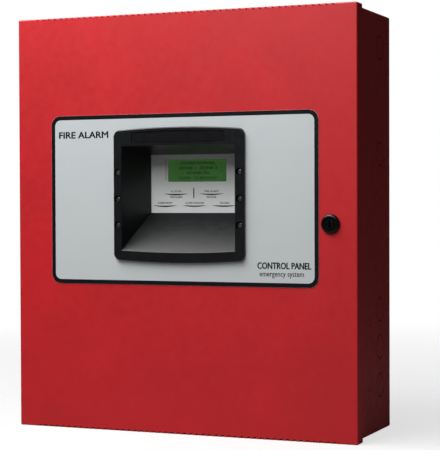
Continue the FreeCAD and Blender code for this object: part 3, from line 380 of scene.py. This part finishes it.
CORE = laminations("transformer_core")
TAPE = wound_tape("transformer_tape")
LCD = display_glass("display_glass", (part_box("lcd_glass")[0].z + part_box("lcd_glass")[1].z) / 2)
FUSE_GLASS = clear_glass("fuse_glass")
RED_WIRE, BLACK_WIRE, BLUE_WIRE = (0.42, 0.012, 0.012), (0.010, 0.010, 0.011), (0.012, 0.030, 0.20)
LEAD_SLEEVES = striped("battery_lead_sleeves", (-165, 165), RED_WIRE, BLUE_WIRE, BLACK_WIRE)
CONNECTOR_SLEEVES = striped("connector_sleeves", (-165, 165), RED_WIRE, BLACK_WIRE, RED_WIRE, BLACK_WIRE)
YELLOW_WIRE, WHITE_WIRE = (0.62, 0.44, 0.02), (0.6, 0.6, 0.58)
COIL_SLEEVES = striped("transformer_lead_sleeves", (-14, 14), YELLOW_WIRE, BLACK_WIRE, WHITE_WIRE, YELLOW_WIRE)

NODE_MATERIALS = {
    "backbox": RED_BOX, "battery_bracket": RED_BOX, "hinge_box_leaves": RED_BOX,
    "door_panel": RED_DOOR, "hinge_door_leaves": RED_DOOR,
    "door_overlay": FILM, "bezel": BEZEL_PLASTIC, "bezel_screws": SCREW_STEEL,
    "lock_housing": LOCK_PLASTIC, "lock_plug": LOCK_STEEL, "lock_nut": ZINC, "lock_cam": ZINC,
    "lock_cam_screw": ZINC, "hinge_pins": ZINC,
    "mounting_plate": PANEL_ZINC, "plate_spacers": ZINC, "machine_screws": ZINC,
    "board_standoffs": BRASS, "fuse_holders": BRASS,
    "main_circuit_board": BOARD, "display_board": BOARD,
    "terminal_blocks": TERMINAL_PLASTIC, "terminal_screws": ZINC,
    "relays": RELAY_PLASTIC, "capacitors": SLEEVE_PLASTIC, "heatsink": ANODISED, "fuses": FUSE_GLASS,
    "integrated_circuits": CHIP_PLASTIC, "piezo_sounder": CHIP_PLASTIC, "tact_switches": CHIP_PLASTIC,
    "display_fascia": FASCIA_FILM_PAINTED_LIGHT, "lcd_frame": FRAME_PAINT, "lcd_glass": LCD,
    "indicator_lenses": CRESCENT_SHADE_PLASTIC, "status_lamps": LAMP_PLASTIC,
    "transformer_core": CORE, "transformer_windings": TAPE, "transformer_bracket": ZINC,
    "transformer_leads": COIL_SLEEVES,
    "battery_left": BATTERY_PLASTIC, "battery_right": BATTERY_PLASTIC, "battery_terminals": NICKEL,
    "spade_connectors": CONNECTOR_SLEEVES, "battery_leads": LEAD_SLEEVES,
}


def dress_nodes():
    """A material for every CAD node; the keys share one."""
    for name, node in nodes.items():
        node.data.materials.clear()
        node.data.materials.append(NODE_MATERIALS.get(name, KEY_PLASTIC))


# ---------------------------------------------------------------- mesh helpers
def new_piece(name, mesh, material, body):
    """A finished mesh piece that rides a body and has that slot's material."""
    piece = bpy.data.objects.new(name, mesh)
    scene.collection.objects.link(piece)
    mesh.materials.append(material)
    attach(piece, body)
    return piece


def from_bmesh(name, bm, material, body, smooth=False):
    """A piece made from a bmesh, its faces turned outwards."""
    bmesh.ops.recalc_face_normals(bm, faces=bm.faces)
    mesh = bpy.data.meshes.new(name)
    for face in bm.faces:
        face.smooth = smooth
    bm.to_mesh(mesh)
    bm.free()
    return new_piece(name, mesh, material, body)


def add_block(bm, low, high, edge=0.0):
    """A block between two corners, its edges bevelled."""
    made = bmesh.ops.create_cube(bm, size=1)["verts"]
    low, high = Vector(low), Vector(high)
    for vert in made:
        vert.co = Vector(a + (b - a) * (c + 0.5) for a, b, c in zip(low, high, vert.co))
    if edge:
        edges = list({e for v in made for e in v.link_edges})
        bmesh.ops.bevel(bm, geom=edges, offset=edge, segments=2, profile=0.7, affect="EDGES")


def add_disc(bm, centre, radius, depth, sides=32, edge=0.0):
    """A short cylinder along Y, its front rim bevelled."""
    spot = Matrix.Translation(centre) @ Matrix.Rotation(math.pi / 2, 4, "X")
    made = bmesh.ops.create_cone(
        bm, cap_ends=True, segments=sides, radius1=radius, radius2=radius, depth=depth, matrix=spot
    )["verts"]
    if edge:
        front = min(v.co.y for v in made)
        rim = [e for v in made for e in v.link_edges if all(abs(p.co.y - front) < 1e-7 for p in e.verts)]
        bmesh.ops.bevel(bm, geom=list(set(rim)), offset=edge, segments=2, affect="EDGES")


def islands(node):
    """The low and high corner of each separate solid in a CAD node."""
    bm = bmesh.new()
    bm.from_mesh(nodes[node].data)
    bmesh.ops.remove_doubles(bm, verts=bm.verts, dist=1e-6)
    seen, boxes = set(), []
    for start in bm.verts:
        if start in seen:
            continue
        seen.add(start)
        stack, members = [start], []
        while stack:
            vert = stack.pop()
            members.append(vert.co.copy())
            for edge in vert.link_edges:
                other = edge.other_vert(vert)
                if other not in seen:
                    seen.add(other)
                    stack.append(other)
        low = Vector(min(c[k] for c in members) for k in range(3))
        high = Vector(max(c[k] for c in members) for k in range(3))
        boxes.append((low, high))
    bm.free()
    return boxes


def rounded_outline(low, high, radius, steps=10):
    """Points round a rectangle with rounded corners, in X and Z."""
    (x0, z0), (x1, z1) = low, high
    corners = ((x1 - radius, z1 - radius, 0), (x0 + radius, z1 - radius, 90))
    corners += ((x0 + radius, z0 + radius, 180), (x1 - radius, z0 + radius, 270))
    points = []
    for cx, cz, start in corners:
        for k in range(steps + 1):
            angle = math.radians(start + 90 * k / steps)
            points.append((cx + radius * math.cos(angle), cz + radius * math.sin(angle)))
    return points


def printed_ring(name, outer, inner, front, thick, material, body, slot):
    """A flat printed ring between two outlines of as many points, standing on the plane y = front."""
    bm = bmesh.new()
    layers = []
    for y in (front, front - thick):
        layers.append([[bm.verts.new((x, y, z)) for x, z in outline] for outline in (outer, inner)])
    count = len(outer)
    for k in range(count):
        n = (k + 1) % count
        (o0, i0), (o1, i1) = layers
        bm.faces.new((o0[k], o0[n], i0[n], i0[k]))
        bm.faces.new((o1[k], i1[k], i1[n], o1[n]))
        bm.faces.new((o0[k], o1[k], o1[n], o0[n]))
        bm.faces.new((i0[k], i0[n], i1[n], i1[k]))
    return from_bmesh(name, bm, material, body)


def printed_patch(name, outline, front, thick, material, body):
    """A thin patch inside an outline, standing on the plane y = front."""
    bm = bmesh.new()
    back, face = [[bm.verts.new((x, y, z)) for x, z in outline] for y in (front, front - thick)]
    bm.faces.new(back)
    bm.faces.new(face[::-1])
    for k in range(len(outline)):
        n = (k + 1) % len(outline)
        bm.faces.new((back[k], face[k], face[n], back[n]))
    return from_bmesh(name, bm, material, body)


def lettering(name, words, centre, height, front, material, body, width=None, bold=0.0, thick=INK):
    """Raised print on a plane that faces -Y: this high, this wide if a width is given, widened by bold."""
    curve = bpy.data.curves.new(name + "_outline", "FONT")
    curve.body, curve.align_x, curve.align_y = words, "CENTER", "CENTER"
    curve.size, curve.extrude, curve.resolution_u = 1.0, 0.01, 3
    text = bpy.data.objects.new(name + "_outline", curve)
    scene.collection.objects.link(text)
    bpy.context.view_layer.update()
    mesh = bpy.data.meshes.new_from_object(text.evaluated_get(bpy.context.evaluated_depsgraph_get()))
    bpy.data.objects.remove(text)
    xs, ys = [v.co.x for v in mesh.vertices], [v.co.y for v in mesh.vertices]
    scale = height / (max(ys) - min(ys))
    across = width / (max(xs) - min(xs)) if width else scale
    mid_x, mid_y = (max(xs) + min(xs)) / 2, (max(ys) + min(ys)) / 2
    for vert in mesh.vertices:
        x, y, z = vert.co
        depth = front - (thick if z > 0 else 0)
        vert.co = (centre[0] + (x - mid_x) * across, depth, centre[1] + (y - mid_y) * scale)
    if bold:
        mesh = widened(mesh, bold, thick)
    return new_piece(name, mesh, material, body)


def widened(mesh, bold, thick):
    """The same print repeated a little to each side, up and down, each copy a shade thicker than the last."""
    bm = bmesh.new()
    steps = ((0, 0), (-0.5, 0), (0.5, 0), (0, -0.35), (0, 0.35), (-0.25, -0.2), (0.25, 0.2))
    for k, (dx, dz) in enumerate(steps):
        before = len(bm.verts)
        bm.from_mesh(mesh)
        bm.verts.ensure_lookup_table()
        front = min(v.co.y for v in mesh.vertices)
        for vert in bm.verts[before:]:
            rise = k * 0.03 * thick if abs(vert.co.y - front) < thick / 10 else 0
            vert.co += Vector((dx * bold, -rise, dz * bold))
    bm.to_mesh(mesh)
    bm.free()
    return mesh


# ---------------------------------------------------------------- print on the door
def dress_door():
    """The overlay's black border and its generic words."""
    low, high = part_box("door_overlay")
    front = low.y
    border, corner, step = 4.9 * MM, 11.4 * MM, 0.1 * MM
    outer = rounded_outline((low.x + step, low.z + step), (high.x - step, high.z - step), corner)
    inside = (low.x + border, low.z + border), (high.x - border, high.z - border)
    inner = rounded_outline(*inside, corner - 4 * MM)
    printed_ring("overlay_border", outer, inner, front, INK, BLACK_INK, "door", "overlay_silver")
    words = (
        ("overlay_title", "FIRE ALARM", (low.x + 43 * MM, high.z - 23 * MM), 7.4, 65, 0.80),
        ("overlay_subtitle", "CONTROL PANEL", (high.x - 41 * MM, low.z + 24.3 * MM), 7.2, 64, 0.70),
        ("overlay_note", "emergency system", (high.x - 44 * MM, low.z + 13.6 * MM), 6.8, 53, 0.16),
    )
    for name, text, centre, height, width, bold in words:
        lettering(name, text, centre, height * MM, front, BLACK_INK, "door", width * MM,
                  bold * MM)


def dress_bezel():
    """A gloss black strip in the bezel's top recess, painted shade that darkens the recess, and a hexagonal
    nut behind each of its screws.
    """
    low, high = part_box("bezel")
    inset, below_top, tall = 24.2 * MM, 6.3 * MM, 10.9 * MM
    front, floor = low.y + 0.62 * MM, low.y + 1.15 * MM
    left, right, top = low.x + inset, high.x - inset, high.z - below_top
    # The strip is painted shade: a dark sheet laid in the recess so that it reads darker.
    strip = bmesh.new()
    add_block(strip, (left, front, top - tall), (right, floor, top), 0.2 * MM)
    from_bmesh("bezel_recess_shade_strip", strip, RECESS_SHADE_BLACK, "door")
    sheet, nut_r, nut_t = 1.2 * MM, 3.1 * MM, 2.1 * MM
    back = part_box("door_overlay")[1].y + sheet
    bm = bmesh.new()
    for low, high in islands("bezel_screws"):
        middle = (low + high) / 2
        add_disc(bm, (middle.x, back + nut_t / 2, middle.z), nut_r, nut_t, 6, 0.25 * MM)
    from_bmesh("bezel_nuts", bm, ZINC, "door")


# ---------------------------------------------------------------- print on the display and keys
LETTER_PITCH = 1.716 * MM        # width of the fascia's legends per character
DISPLAY_PITCH = 3.5 * MM
DISPLAY_LINE = 5.9 * MM
STATUS_WORDS = {
    "upper_left": ("AC POWER", "PRE-ALARM"), "upper_right": ("FIRE ALARM", "RELEASE"),
    "lower_left": ("SUPERVISORY", ""), "lower_middle": ("ALARM SILENCED", ""), "lower_right": ("TROUBLE", ""),
}


def dress_fascia():
    """A legend above each crescent window, two below the upper ones, and two thin rules."""
    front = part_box("display_fascia")[0].y
    lenses = sorted(islands("indicator_lenses"), key=lambda b: (-round(b[0].z, 3), b[0].x))
    letter = 2.1 * MM
    for (place, (above, below)), (low, high) in zip(STATUS_WORDS.items(), lenses):
        x, z = (low.x + high.x) / 2, high.z
        ink = GREEN_INK if above == "AC POWER" else BLACK_INK
        lettering("legend_" + place, above, (x, z + 2.7 * MM), letter, front, ink, "cabinet",
                  LETTER_PITCH * len(above), 0.12 * MM)
        if below:
            lettering("legend_" + place + "_below", below, (x, low.z - 2.2 * MM), letter, front, BLACK_INK,
                      "cabinet", LETTER_PITCH * len(below), 0.12 * MM)
    bm = bmesh.new()
    divider = (lenses[0][1].x + lenses[1][0].x) / 2
    add_block(bm, (divider - 0.7 * MM, front - INK, 29.4 * MM), (divider + 0.7 * MM, front, 41.4 * MM))
    glass_low, glass_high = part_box("lcd_glass")
    edge = glass_low.x - 1.6 * MM
    add_block(bm, (edge - 0.5 * MM, front - INK, glass_low.z + 3 * MM), (edge, front, glass_high.z - 1 * MM))
    from_bmesh("fascia_rules", bm, BLACK_INK, "cabinet")


def dress_display():
    """Four lines of generic characters on the display's glass."""
    low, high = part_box("lcd_glass")
    front, middle = low.y, (low.z + high.z) / 2
    lines = ("SYSTEM NORMAL", "ZONE 1  ZONE 2", "POWER ON", "12:00  TUESDAY")
    for k, words in enumerate(lines):
        centre = ((low.x + high.x) / 2, middle + (1.5 - k) * DISPLAY_LINE)
        lettering("display_line_%d" % (k + 1), words, centre, 3.3 * MM, front, DISPLAY_INK, "cabinet",
                  DISPLAY_PITCH * len(words), 0.12 * MM)


KEY_WORDS = {
    "acknowledge": "ACK", "silence": "SILENCE", "drill": "DRILL", "reset": "RESET", "star": "*", "hash": "#",
}


def dress_keys():
    """A white legend on every key."""
    for name in nodes:
        if not name.startswith("key_"):
            continue
        key = name[len("key_"):]
        low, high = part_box(name)
        words = KEY_WORDS.get(key, key)
        height = 2.9 if len(words) > 1 else 4.6
        if key == "star":
            height = 2.6
        centre = ((low.x + high.x) / 2, (low.z + high.z) / 2)
        lettering("legend_" + name, words, centre, height * MM, low.y, WHITE_INK, "key_body_" + key,
                  bold=0.14 * MM)


# ---------------------------------------------------------------- detail on the main board
WIDE_PITCH, FINE_PITCH = 2.54 * MM, 1.27 * MM
LEG_HALF = 0.17          # half a leg's width, as a share of the pitch


def chip_legs():
    """Bent legs along the two longer sides of every chip."""
    bm = bmesh.new()
    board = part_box("main_circuit_board")[0].y
    out, thin = 0.9 * MM, 0.25 * MM
    for low, high in islands("integrated_circuits"):
        size = high - low
        along, over = (0, 2) if size.x >= size.z else (2, 0)
        pitch = WIDE_PITCH if size.y > 3 * MM else FINE_PITCH
        count = int((size[along] - pitch) / pitch) + 1
        start, knee = (low[along] + high[along]) / 2 - pitch * (count - 1) / 2, board - size.y * 0.5
        for k in range(count):
            span = (start + (k - LEG_HALF) * pitch, start + (k + LEG_HALF) * pitch)
            for edge, way in ((low[over], -1), (high[over], 1)):
                tip, bend = edge + way * out, edge + way * (out - thin)
                for ends, depths in (((edge, tip), (knee - thin, knee)), ((bend, tip), (knee, board))):
                    a, b = [0, depths[0], 0], [0, depths[1], 0]
                    a[along], b[along] = span
                    a[over], b[over] = sorted(ends)
                    add_block(bm, a, b)
    from_bmesh("chip_legs", bm, SOLDER, "cabinet")


PART_COUNT, PART_TRIES = 260, 4000
PART_GRID, PART_MARGIN = 2.5 * MM, 3.2 * MM
PART_LONG, PART_SHORT = 1.6 * MM, 0.85 * MM      # half the length and half the width
PART_TALL = {"resistors": 0.55 * MM, "ceramic_capacitors": 0.85 * MM}
CORE_SHARE = 0.72                                # of those halves, for the body between the ends
END_START, END_WIDE, END_TALL = 0.7, 0.75, 1.04


def near(low, value, high):
    """Whether the value lies between the limits or within the margin of them."""
    return low - PART_MARGIN < value < high + PART_MARGIN


def small_parts():
    """Rows of small chip resistors and capacitors in the board's free places."""
    rng = random.Random(7)
    board_low, board_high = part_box("main_circuit_board")
    taken = []
    crowd = ("terminal_blocks", "relays", "capacitors", "heatsink", "fuse_holders", "fuses",
             "integrated_circuits", "piezo_sounder", "board_standoffs", "machine_screws")
    for node in crowd:
        taken += islands(node)
    bodies = {"resistors": bmesh.new(), "ceramic_capacitors": bmesh.new()}
    ends = bmesh.new()
    front = board_low.y
    placed = 0
    for _ in range(PART_TRIES):
        if placed >= PART_COUNT:
            break
        x = rng.uniform(board_low.x + 6 * MM, board_high.x - 6 * MM)
        z = rng.uniform(board_low.z + 16 * MM, board_high.z - 16 * MM)
        x, z = round(x / PART_GRID) * PART_GRID, round(z / PART_GRID) * PART_GRID
        if any(near(low.x, x, high.x) and near(low.z, z, high.z) for low, high in taken):
            continue
        taken.append((Vector((x - 1 * MM, 0, z - 0.5 * MM)), Vector((x + 1 * MM, 0, z + 0.5 * MM))))
        kind = rng.choice(("resistors", "ceramic_capacitors"))
        across = rng.random() < 0.6
        long, short, tall = PART_LONG, PART_SHORT, PART_TALL[kind]
        hx, hz = (long, short) if across else (short, long)
        core_x, core_z = hx * CORE_SHARE, hz * CORE_SHARE
        add_block(bodies[kind], (x - core_x, front - tall, z - core_z), (x + core_x, front, z + core_z))
        for side in (-1, 1):
            wide, rise = short * END_WIDE, tall * END_TALL
            if across:
                x0, x1 = sorted((x + side * long * END_START, x + side * long))
                add_block(ends, (x0, front - rise, z - wide), (x1, front, z + wide))
            else:
                z0, z1 = sorted((z + side * long * END_START, z + side * long))
                add_block(ends, (x - wide, front - rise, z0), (x + wide, front, z1))
        placed += 1
    from_bmesh("resistors", bodies["resistors"], CHIP_PLASTIC, "cabinet")
    from_bmesh("ceramic_capacitors", bodies["ceramic_capacitors"], CERAMIC, "cabinet")
    from_bmesh("solder_ends", ends, SOLDER, "cabinet")


def capacitor_tops():
    """The bare aluminium top of each capacitor, a cross of dark strips on it that paints the shade of its
    scored vent, and the pale stripe down its sleeve.
    """
    tops, vent_shade, stripes = bmesh.new(), bmesh.new(), bmesh.new()
    for low, high in islands("capacitors"):
        middle, radius, top = (low + high) / 2, (high.x - low.x) / 2, low.y
        add_disc(tops, (middle.x, top - 0.05 * MM, middle.z), radius * 0.80, 0.3 * MM, 32, 0.08 * MM)
        long, thin = radius * 0.55, 0.22 * MM
        # Dark strips standing proud of the top: painted shade for the grooves of the scored vent.
        for dx, dz in ((long, thin), (thin, long)):
            low_corner = (middle.x - dx, top - 0.24 * MM, middle.z - dz)
            add_block(vent_shade, low_corner, (middle.x + dx, top - 0.1 * MM, middle.z + dz))
        for k in range(7):
            angle = math.radians(200 + k * 6)
            x, z = middle.x + radius * math.cos(angle), middle.z + radius * math.sin(angle)
            half = radius * math.radians(3.2)
            add_block(stripes, (x - half, top + 2 * MM, z - half), (x + half * 0.4, high.y - 6 * MM, z + half))
    from_bmesh("capacitor_tops", tops, SOLDER, "cabinet")
    from_bmesh("capacitor_vent_shade", vent_shade, CHIP_PLASTIC, "cabinet")
    from_bmesh("capacitor_stripes", stripes, WHITE_INK, "cabinet")


def fuse_caps():
    """Nickel end caps on the glass fuses."""
    bm = bmesh.new()
    for low, high in islands("fuses"):
        middle, radius = (low + high) / 2, (high.z - low.z) / 2 + 0.04 * MM
        for x in (low.x + 2.7 * MM, high.x - 2.7 * MM):
            spot = Matrix.Translation((x, middle.y, middle.z)) @ Matrix.Rotation(math.pi / 2, 4, "Y")
            bmesh.ops.create_cone(
                bm, cap_ends=True, segments=28, radius1=radius, radius2=radius, depth=5.5 * MM, matrix=spot
            )
    from_bmesh("fuse_caps", bm, NICKEL, "cabinet")


def silk_screen():
    """White outlines round the board's larger parts, and a plain number beside each terminal block."""
    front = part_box("main_circuit_board")[0].y
    bm = bmesh.new()
    line = 0.22 * MM
    groups = [islands("relays"), islands("integrated_circuits"), islands("capacitors")]
    for low, high in [b for group in groups for b in group]:
        x0, x1, z0, z1 = low.x - 1.6 * MM, high.x + 1.6 * MM, low.z - 1.6 * MM, high.z + 1.6 * MM
        level = ((x0, z0), (x1, z0 + line)), ((x0, z1 - line), (x1, z1))
        upright = ((x0, z0), (x0 + line, z1)), ((x1 - line, z0), (x1, z1))
        for a, b in level + upright:
            add_block(bm, (a[0], front - INK, a[1]), (b[0], front, b[1]))
    from_bmesh("board_print", bm, WHITE_INK, "cabinet")
    blocks = [b for b in islands("terminal_blocks") if b[1].x - b[0].x > 30 * MM]
    for k, (low, high) in enumerate(sorted(blocks, key=lambda b: (b[0].z, b[0].x))):
        inner = high.z + 4.2 * MM if high.z < 0 else low.z - 4.2 * MM
        centre = ((low.x + high.x) / 2, inner)
        lettering("board_number_%d" % (k + 1), "TB%d" % (k + 1), centre, 3.0 * MM, front, WHITE_INK,
                  "cabinet")


def ribbon_cable():
    """A flat cable from a header on the main board round into the gap behind the display board."""
    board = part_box("main_circuit_board")[0].y
    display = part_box("display_board")[1]
    x0, z0, z1 = display.x + 10 * MM, 24 * MM, 49 * MM
    bm = bmesh.new()
    header_low = (x0 - 3 * MM, board - 8.6 * MM, z0 - 2.5 * MM)
    add_block(bm, header_low, (x0 + 3 * MM, board, z1 + 2.5 * MM), 0.4 * MM)
    from_bmesh("ribbon_header", bm, CHIP_PLASTIC, "cabinet")
    start, end = Vector((x0, board - 8.4 * MM)), Vector((display.x - 14 * MM, board - 11.5 * MM))
    via = (Vector((x0, board - 15 * MM)), Vector((display.x + 1 * MM, board - 13.6 * MM)))
    path = []
    for k in range(17):
        t = k / 16
        a, b, c, d = (1 - t) ** 3, 3 * t * (1 - t) ** 2, 3 * t * t * (1 - t), t ** 3
        path.append(start * a + via[0] * b + via[1] * c + end * d)
    wires, per = 20, 4
    rows = []
    for k, spot in enumerate(path):
        ahead = path[min(k + 1, len(path) - 1)] - path[max(k - 1, 0)]
        normal = Vector((-ahead.y, ahead.x)).normalized()
        row = []
        for side in (1, -1):
            for j in range(wires * per + 1):
                share = j / (wires * per)
                ripple = abs(math.sin(math.pi * share * wires)) * 0.22 * MM + 0.2 * MM
                out = spot + normal * ripple * side
                z = z0 + (z1 - z0) * (share if side > 0 else 1 - share)
                row.append((out.x, out.y, z))
        rows.append(row)
    bm = bmesh.new()
    grid = [[bm.verts.new(p) for p in row] for row in rows]
    ring = len(grid[0])
    for one, two in zip(grid, grid[1:]):
        for j in range(ring):
            n = (j + 1) % ring
            bm.faces.new((one[j], one[n], two[n], two[j]))
    bm.faces.new(grid[0])
    bm.faces.new(grid[-1])
    from_bmesh("ribbon_cable", bm, RIBBON, "cabinet", smooth=True)


def battery_marks():
    """A bordered label on each battery, and a plus or a minus beside each terminal."""
    for side in ("left", "right"):
        low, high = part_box("battery_" + side)
        mid = (low.x + high.x) / 2
        front, top = low.y, high.z
        face = front - LABEL
        half_w, corner = 44 * MM, 3 * MM
        corners = (mid - half_w, low.z + 32 * MM), (mid + half_w, low.z + 72 * MM)
        printed_patch("battery_label_" + side, rounded_outline(*corners, corner), front, LABEL, PAPER,
                      "cabinet")
        borders = []
        for inset in (1.4 * MM, 2.1 * MM):
            (x0, z0), (x1, z1) = corners
            borders.append(rounded_outline((x0 + inset, z0 + inset), (x1 - inset, z1 - inset), corner - inset))
        printed_ring("battery_label_border_" + side, *borders, face, INK, BLACK_INK, "cabinet", "battery_case")
        lettering("battery_words_" + side, "SEALED BATTERY", (mid, low.z + 60 * MM), 5.5 * MM, face,
                  BLACK_INK, "cabinet", 72 * MM, 0.05 * MM)
        lettering("battery_rating_" + side, "12 V", (mid, low.z + 46 * MM), 8 * MM, face, BLACK_INK,
                  "cabinet", bold=0.15 * MM)
        bm = bmesh.new()
        half, thin, y, inward = 3 * MM, 0.6 * MM, front + 9 * MM, 24 * MM
        for x, plus in ((low.x + inward, True), (high.x - inward, False)):
            add_block(bm, (x - half, y - thin, top), (x + half, y + thin, top + 0.3 * MM))
            if plus:
                add_block(bm, (x - thin, y - half, top), (x + thin, y + half, top + 0.29 * MM))
        from_bmesh("battery_marks_" + side, bm, WHITE_INK, "cabinet")


# ---------------------------------------------------------------- the floor
def make_floor():
    """The ground under the object, for its shadow only."""
    size, low = 3.0, cad_bounds[0].z
    bpy.ops.mesh.primitive_plane_add(size=2 * size, location=(0, 0, low))
    floor = bpy.context.object
    floor.name = "floor"
    floor.data.materials.append(studio_floor("studio_floor"))


scene.view_settings.view_transform = "Standard"
make_camera()
make_world()
make_lights()
make_floor()
dress_nodes()
dress_door()
dress_bezel()
dress_fascia()
dress_display()
dress_keys()
chip_legs()
small_parts()
capacitor_tops()
fuse_caps()
silk_screen()
ribbon_cable()
battery_marks()
